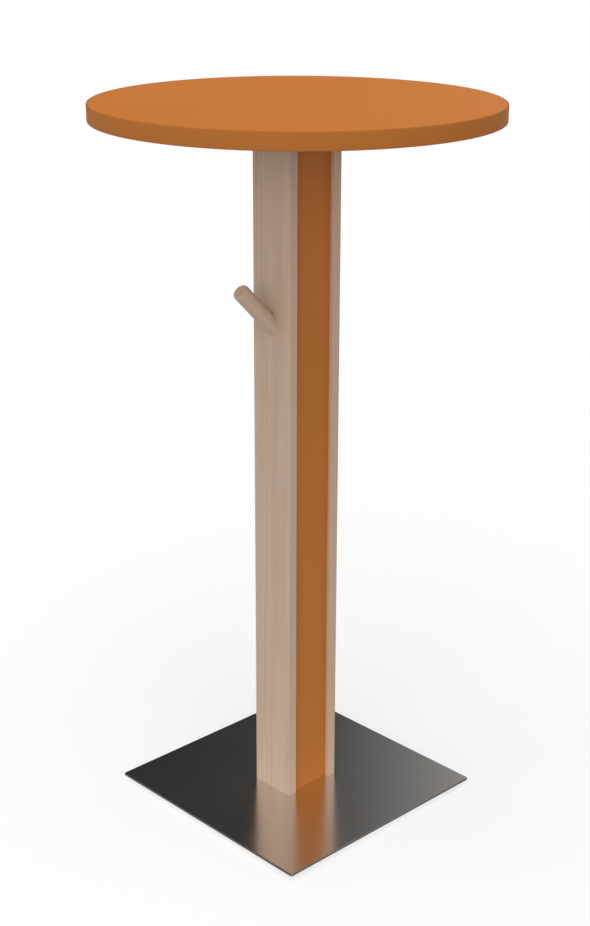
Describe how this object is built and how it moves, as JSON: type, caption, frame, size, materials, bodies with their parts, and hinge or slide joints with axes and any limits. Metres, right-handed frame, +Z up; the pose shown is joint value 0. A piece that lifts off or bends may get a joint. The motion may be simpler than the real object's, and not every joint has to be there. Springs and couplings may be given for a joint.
{
  "type": "standing meeting table",
  "caption": "Round-topped standing table on a rectangular timber column with coloured infill panels, a slanting coat peg and a flat square steel base on screw glides.",
  "frame": {"origin": "on the floor, under the centre of the column and of the base plate", "axes": "+Z up, -X out of the side board that holds the coat peg, -Y out of the front panel"},
  "size_m": [0.5959, 0.596, 1.108],
  "materials": {
    "brushed_plate": "stainless sheet, brushed, dark satin",
    "bare_steel": "mild steel, mill finish",
    "plated_steel": "zinc plated",
    "beech": "pale beech, matt clear lacquer",
    "panel_lacquer": "fibreboard, satin orange lacquer",
    "plywood": "birch plywood, sawn",
    "coated_steel": "black powder coat, fine texture",
    "insert_brass": "turned",
    "chipboard": "raw particle board",
    "orange_laminate": "satin melamine laminate",
    "backing_laminate": "satin melamine laminate",
    "orange_edging": "satin edge band",
    "nylon": "moulded, satin"
  },
  "bodies": {
    "table": {"base_plate": "brushed_plate", "core_tube": "bare_steel", "core_foot_plug": "bare_steel", "core_head_plug": "bare_steel", "glide_boss_front_left": "bare_steel", "glide_boss_front_right": "bare_steel", "glide_boss_rear_right": "bare_steel", "glide_boss_rear_left": "bare_steel", "foot_bolts": "plated_steel", "head_bolts": "plated_steel", "board_bolts": "plated_steel", "board_washers": "plated_steel", "peg_block_screws": "plated_steel", "side_board_left": "beech", "side_board_right": "beech", "coat_peg": "beech", "peg_block": "beech", "front_panel": "panel_lacquer", "rear_panel": "panel_lacquer", "spacer_collar_foot": "plywood", "spacer_collar_lower": "plywood", "spacer_collar_middle": "plywood", "spacer_collar_top": "plywood", "head_plate": "coated_steel", "board_inserts": "insert_brass", "board_core": "chipboard", "board_face_sheet": "orange_laminate", "board_backing_sheet": "backing_laminate", "board_edge_band": "orange_edging"},
    "pad_front_left": {"glide_pad_front_left": "nylon"},
    "stud_front_left": {"glide_stud_front_left": "plated_steel"},
    "pad_front_right": {"glide_pad_front_right": "nylon"},
    "stud_front_right": {"glide_stud_front_right": "plated_steel"},
    "pad_rear_right": {"glide_pad_rear_right": "nylon"},
    "stud_rear_right": {"glide_stud_rear_right": "plated_steel"},
    "pad_rear_left": {"glide_pad_rear_left": "nylon"},
    "stud_rear_left": {"glide_stud_rear_left": "plated_steel"}
  },
  "joints": [
    {"name": "glide_travel_front_left", "type": "slide", "parent": "table", "child": "pad_front_left", "axis": [0, 0, -1], "range_m": [0, 0.0035]},
    {"name": "glide_turn_front_left", "type": "hinge", "parent": "pad_front_left", "child": "stud_front_left", "pos_m": [-0.17, -0.17, 0], "axis": [0, 0, -1], "range_deg": [0, 1008]},
    {"name": "glide_travel_front_right", "type": "slide", "parent": "table", "child": "pad_front_right", "axis": [0, 0, -1], "range_m": [0, 0.0035]},
    {"name": "glide_turn_front_right", "type": "hinge", "parent": "pad_front_right", "child": "stud_front_right", "pos_m": [0.17, -0.17, 0], "axis": [0, 0, -1], "range_deg": [0, 1008]},
    {"name": "glide_travel_rear_right", "type": "slide", "parent": "table", "child": "pad_rear_right", "axis": [0, 0, -1], "range_m": [0, 0.0035]},
    {"name": "glide_turn_rear_right", "type": "hinge", "parent": "pad_rear_right", "child": "stud_rear_right", "pos_m": [0.17, 0.17, 0], "axis": [0, 0, -1], "range_deg": [0, 1008]},
    {"name": "glide_travel_rear_left", "type": "slide", "parent": "table", "child": "pad_rear_left", "axis": [0, 0, -1], "range_m": [0, 0.0035]},
    {"name": "glide_turn_rear_left", "type": "hinge", "parent": "pad_rear_left", "child": "stud_rear_left", "pos_m": [-0.17, 0.17, 0], "axis": [0, 0, -1], "range_deg": [0, 1008]}
  ],
  "couplings": [
    {"joint": "glide_travel_front_left", "follows": "glide_turn_front_left", "m_per_rad": 0.00019894},
    {"joint": "glide_travel_front_right", "follows": "glide_turn_front_right", "m_per_rad": 0.00019894},
    {"joint": "glide_travel_rear_right", "follows": "glide_turn_rear_right", "m_per_rad": 0.00019894},
    {"joint": "glide_travel_rear_left", "follows": "glide_turn_rear_left", "m_per_rad": 0.00019894}
  ]
}
